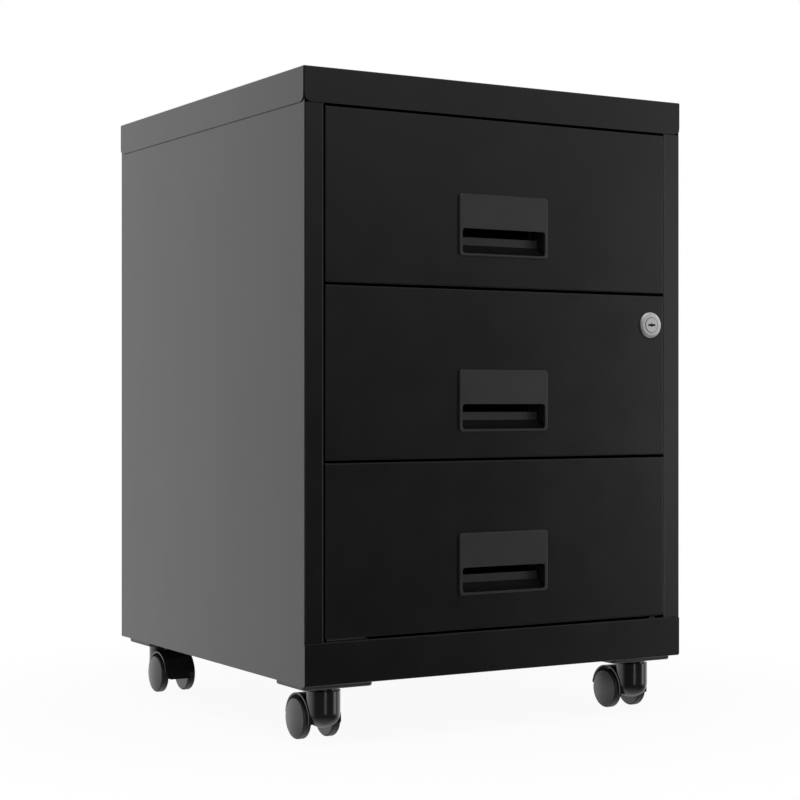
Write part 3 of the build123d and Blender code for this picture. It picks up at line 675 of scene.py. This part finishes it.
def band(value, rise, fall):
    """A mask that rises over one pair of values and falls again over another."""
    return smooth_step(sky, value, *rise) * (1 - smooth_step(sky, value, *fall))


room_side = (0.508, -0.861, 0.0)
backdrop_side = (0.174, 0.985, 0.0)
upwards = towards((0.0, 0.0, 1.0))
downwards = towards((0.0, 0.0, -1.0))
in_front = smooth_step(sky, towards(room_side), 0.1, 0.6)
print("directions ready")

# %% Strip light and window
strip_angle = -13.0
window_angle = 43.0
window_low_glow = 3.1
window_high_glow = 0.3


def strip_light(angle):
    """An upright strip near the floor, `angle` degrees round from the front towards the right."""
    across = (math.cos(math.radians(angle)), math.sin(math.radians(angle)), 0.0)
    ahead = (math.sin(math.radians(angle)), -math.cos(math.radians(angle)), 0.0)
    in_line = 1 - smooth_step(sky, abs(towards(across)), 0.03, 0.12)
    near_floor = band(downwards, rise=(-0.05, 0.12), fall=(0.145, 0.185))
    return in_line * near_floor * smooth_step(sky, towards(ahead), 0.3, 0.6)


def window(angle):
    """A broad panel of light, brightest low down, that starts `angle` degrees right of the front."""
    beyond = towards((math.cos(math.radians(angle)), math.sin(math.radians(angle)), 0.0))
    across = band(beyond, rise=(0.0, 0.12), fall=(0.25, 0.5))
    along = band(upwards, rise=(-0.28, -0.16), fall=(0.3, 0.5))
    lost = (window_low_glow - window_high_glow) * smooth_step(sky, upwards, -0.13, 0.23)
    return in_front * across * along * (window_low_glow - lost)


print("strip light at", strip_angle, "degrees, window from", window_angle)

# %% World
darkest = 0.01
room_glow = 0.75
backdrop_glow = 1.28
ground_glow = 0.6
strip_glow = 4.2
ambient = 0.45
under_shade = 0.6
under_cabinet = smooth_step(sky, downwards, 0.16, 0.45)
backdrop = smooth_step(sky, towards(backdrop_side), -0.35, 0.30) * (1 - under_shade * under_cabinet)
ground = smooth_step(sky, downwards, 0.55, 0.95)
room = in_front * band(upwards, rise=(0.05, 0.25), fall=(0.40, 0.70))
lights = window(window_angle) + strip_glow * strip_light(strip_angle)
bright = darkest + room_glow * room + backdrop_glow * backdrop + ground_glow * ground + lights
diffuse = 1 - to_camera - in_gloss - through
strength = to_camera + through + in_gloss * bright + diffuse * ambient
sky.feed(world.node_tree.nodes["Background"], {"Color": (1.0, 1.0, 1.0, 1.0), "Strength": strength})
print("world ready, ambient", ambient)

# %% Lamps
def soft_lamp(name, place, aim, size, watts):
    """A square area lamp that points from its place to its aim."""
    data = bpy.data.lights.new(name, "AREA")
    data.size = size
    data.energy = watts
    lamp = bpy.data.objects.new(name, data)
    lamp.location = place
    along = [end - start for start, end in zip(place, aim)]
    flat = math.hypot(along[0], along[1])
    lamp.rotation_euler = (math.atan2(flat, -along[2]), 0.0, math.atan2(along[0], -along[1]) + math.pi)
    bpy.context.scene.collection.objects.link(lamp)
    return lamp


cabinet_middle = (0.0, 0.0, 0.3)
soft_lamp("overhead_lamp", place=(-0.4, -0.5, 2.6), aim=cabinet_middle, size=1.8, watts=28.0)
soft_lamp("right_lamp", place=(1.7, -1.5, 0.45), aim=cabinet_middle, size=0.7, watts=1.0)
print("lamps ready, aimed at", cabinet_middle)

# %% [markdown]
# ## The floor
# The floor is pale and keeps a faint shadow of the cabinet. Lamps alone would leave it grey against the
# white background, so the camera sees mostly plain white there: a small share of the lit floor is mixed
# in near the cabinet, and it fades out with the distance.

# %% Floor finish
near_white = 0.94
white_fade = (0.25, 0.60)
floor_material, paper, floor_shader, floor_place = new_finish("pale_floor", Roughness=0.9)
fibres = noise(paper, floor_place, 30.0)
paper.feed(floor_shader, {"Base Color": mix_colour(paper, fibres, grey(0.80), grey(0.84))})
seen = paper.node("ShaderNodeLightPath", output="Is Camera Ray")
white = paper.node("ShaderNodeEmission", {}, {"Color": (1.0, 1.0, 1.0, 1.0), "Strength": 1.0})
lit = Signal(paper, floor_shader.outputs[0])
far = smooth_step(paper, from_axis(paper, floor_place, (0.0, 0.0, 0.0), 2), *white_fade)
plain_share = (near_white + (1 - near_white) * far) * seen
shown = paper.node("ShaderNodeMixShader", {}, {0: plain_share, 1: lit, 2: white})
paper.feed(floor_material.node_tree.nodes["Material Output"], {"Surface": shown})
print("finish:", floor_material.name)

# %% Floor
floor_radius = 1.3
middle_share = 0.0005


def disc(name, radius, finish, rings=12, around=96):
    """A flat round floor: at share t from the middle the radius is R t, on every angle."""
    angle = np.linspace(0.0, 2 * np.pi, around, endpoint=False)[:, None]
    reach = radius * np.linspace(middle_share, 1.0, rings)[None, :]
    points = np.stack([reach * np.cos(angle), reach * np.sin(angle), 0 * reach * angle], axis=-1)
    return add_mesh(name, points, grid_faces(around, rings, 1)[:, ::-1], finish)


floor = disc("floor", floor_radius, floor_material)
floor.visible_glossy = False
print("floor radius:", floor_radius, "m")

# %% [markdown]
# ## Colour
# The Standard view shows a colour as it is written.

# %% Finish
bpy.context.scene.view_settings.view_transform = "Standard"
